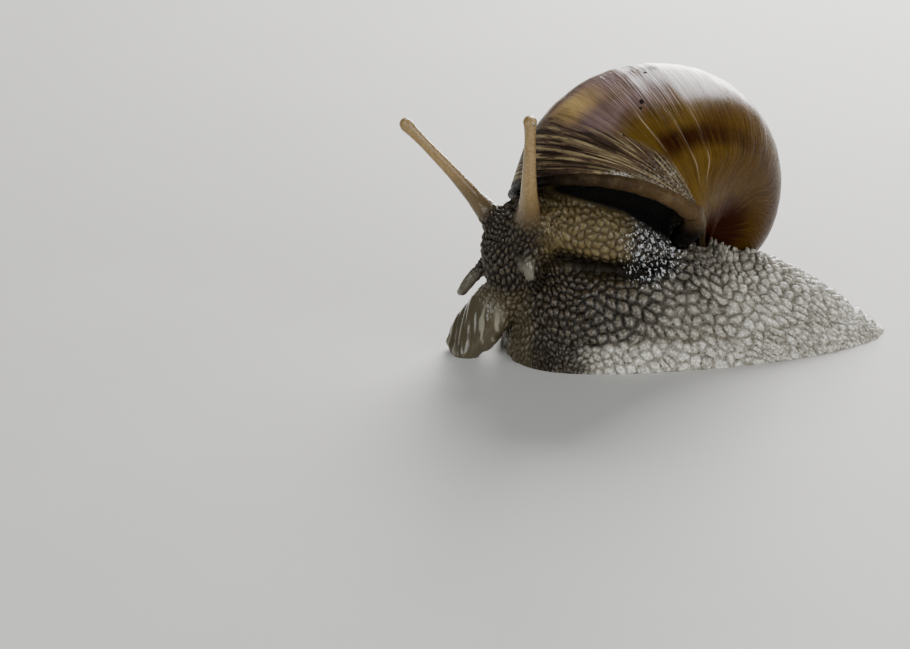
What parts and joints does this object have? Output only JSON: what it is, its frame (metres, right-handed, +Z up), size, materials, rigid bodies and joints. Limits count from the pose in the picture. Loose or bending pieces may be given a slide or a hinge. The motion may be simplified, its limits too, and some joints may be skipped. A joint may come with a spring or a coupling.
{
  "type": "land snail model",
  "caption": "Life-size still model of a land snail resting on its flat sole, with a round coiled shell, raised neck and stretched eye feelers.",
  "frame": {"origin": "middle of the footprint of the whole box, at the level of the sole", "axes": "-X towards the head, +X towards the tail, -Y to the animal's left, +Y to its right and towards the shell's apex, +Z up"},
  "size_m": [0.0787, 0.0456, 0.0447],
  "materials": {
    "shell": "worn gloss, golden brown with dark spiral bands and fine growth lines",
    "head_skin": "moist, dark olive brown with close tubercles",
    "neck_skin": "moist, olive with pale rounded tubercles",
    "mantle_skin": "moist, smooth and dark",
    "foot_skin": "moist, grey brown with rows of tubercles and a pale fringe",
    "tail_skin": "moist, pale grey with small tubercles",
    "feeler_skin": "moist, finely grained, beige",
    "lip_feeler_skin": "moist, finely grained, grey brown",
    "eye": "glossy black"
  },
  "bodies": {
    "root": {"shell": "shell", "head": "head_skin", "mouth": "head_skin", "neck": "neck_skin", "mantle": "mantle_skin", "foot_front": "foot_skin", "foot_middle": "foot_skin", "tail": "tail_skin", "eye_feeler_left": "feeler_skin", "eye_feeler_right": "feeler_skin", "lip_feeler_left": "lip_feeler_skin", "lip_feeler_right": "lip_feeler_skin", "eye_left": "eye", "eye_right": "eye"}
  },
  "joints": []
}
